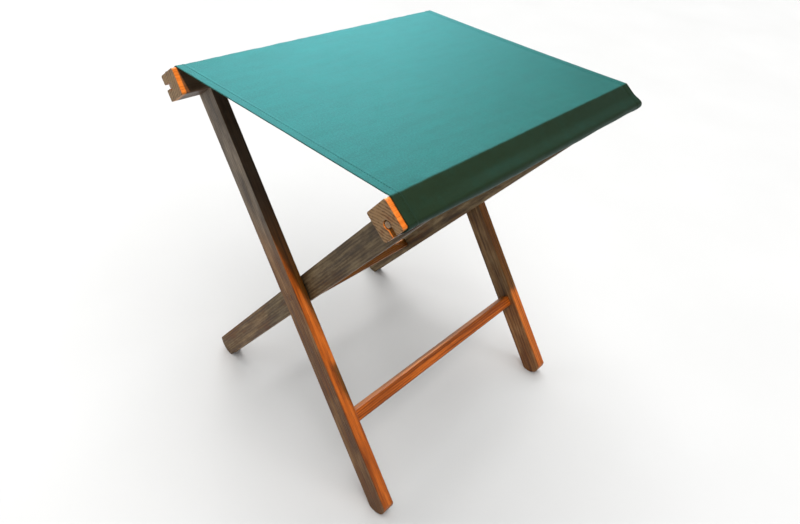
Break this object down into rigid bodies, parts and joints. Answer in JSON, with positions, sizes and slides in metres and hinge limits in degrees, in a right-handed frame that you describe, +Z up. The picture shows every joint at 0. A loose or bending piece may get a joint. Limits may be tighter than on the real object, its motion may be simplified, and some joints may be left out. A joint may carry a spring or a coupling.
{
  "type": "folding stool",
  "caption": "Folding stool with two crossed wooden leg frames that scissor on side pivots, and a taut canvas seat wrapped over square rails and trapped in keyhole grooves by dowels.",
  "frame": {"origin": "on the floor, midway between the two rails and below the pivot axis, with the stool open", "axes": "+Z up; +Y along the rails and the pivot axis; +X from the outer frame's rail to the inner frame's rail"},
  "size_m": [0.3538, 0.406, 0.4502],
  "materials": {
    "frame_wood": "weathered oiled hardwood, satin",
    "dowel_wood": "pale bare hardwood dowel",
    "canvas": "teal-green woven cotton canvas, hemmed side edges",
    "brass": "plain brass",
    "steel": "zinc-plated steel"
  },
  "bodies": {
    "outer_frame": {"outer_leg_near": "frame_wood", "outer_leg_far": "frame_wood", "outer_rail": "frame_wood", "outer_stretcher": "frame_wood", "outer_rail_pegs": "dowel_wood", "outer_stretcher_pins": "brass", "outer_seat_dowel": "dowel_wood", "seat_canvas": "canvas", "pivot_plug_near": "dowel_wood", "pivot_plug_far": "dowel_wood"},
    "inner_frame": {"inner_leg_near": "frame_wood", "inner_leg_far": "frame_wood", "inner_rail": "frame_wood", "inner_stretcher": "frame_wood", "inner_rail_pegs": "dowel_wood", "inner_stretcher_pins": "brass", "inner_seat_dowel": "dowel_wood", "pivot_bolt_near": "steel", "pivot_bolt_far": "steel", "pivot_washer_near": "steel", "pivot_washer_far": "steel", "pivot_insert_near": "brass", "pivot_insert_far": "brass"}
  },
  "joints": [
    {"name": "fold", "type": "hinge", "parent": "outer_frame", "child": "inner_frame", "pos_m": [0, 0, 0.22444], "axis": [0, -1, 0], "range_deg": [0, 66], "deforming": ["seat_canvas"]}
  ]
}
